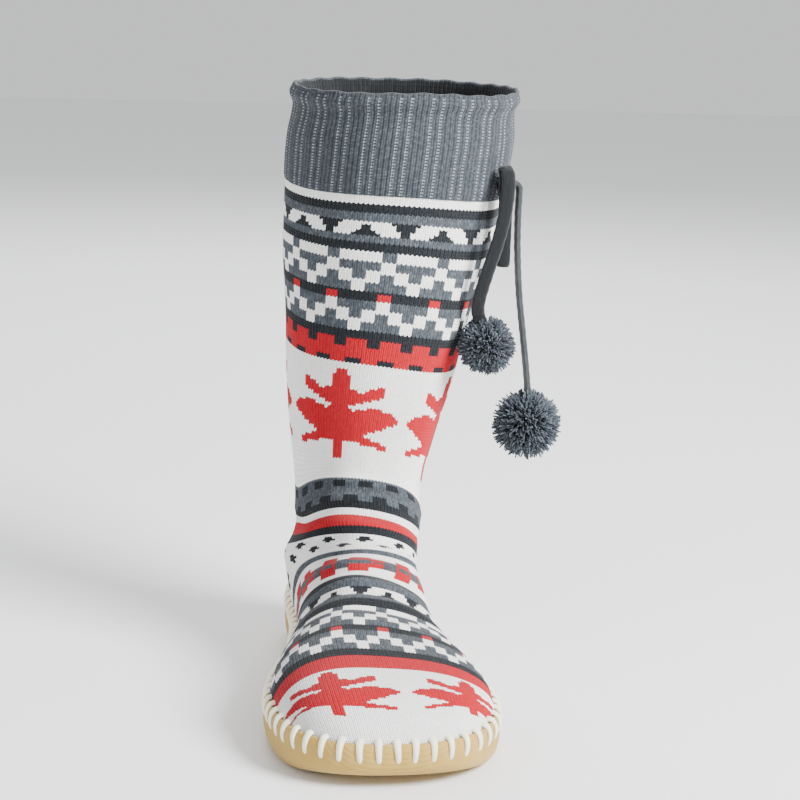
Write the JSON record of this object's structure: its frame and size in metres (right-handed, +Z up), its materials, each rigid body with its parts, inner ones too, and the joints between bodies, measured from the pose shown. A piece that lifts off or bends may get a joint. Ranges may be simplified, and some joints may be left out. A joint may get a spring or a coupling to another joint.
{
  "type": "boot slipper",
  "caption": "Knitted boot slipper with a ribbed cuff, a soft sole that wraps up round the foot, and hanging ties with pompoms.",
  "frame": {"origin": "on the ground under the middle of the heel, at the flat spot that the heel rests on", "axes": "+Z up, toe towards -Y, +X to the outer side, where the ties hang"},
  "size_m": [0.1574, 0.2718, 0.3],
  "materials": {
    "knit": "knitted yarn in white, grey, black and red",
    "sole": "tan brushed fabric with fine cross lines",
    "insole": "dark brushed lining",
    "tie": "dark grey flat knitted tape",
    "pompom": "slate grey cut yarn"
  },
  "bodies": {
    "root": {"upper": "knit", "sole": "sole", "insole": "insole", "tie_knot": "tie", "tie_short": "tie", "tie_long": "tie", "pompom_short": "pompom", "pompom_long": "pompom"}
  },
  "joints": []
}
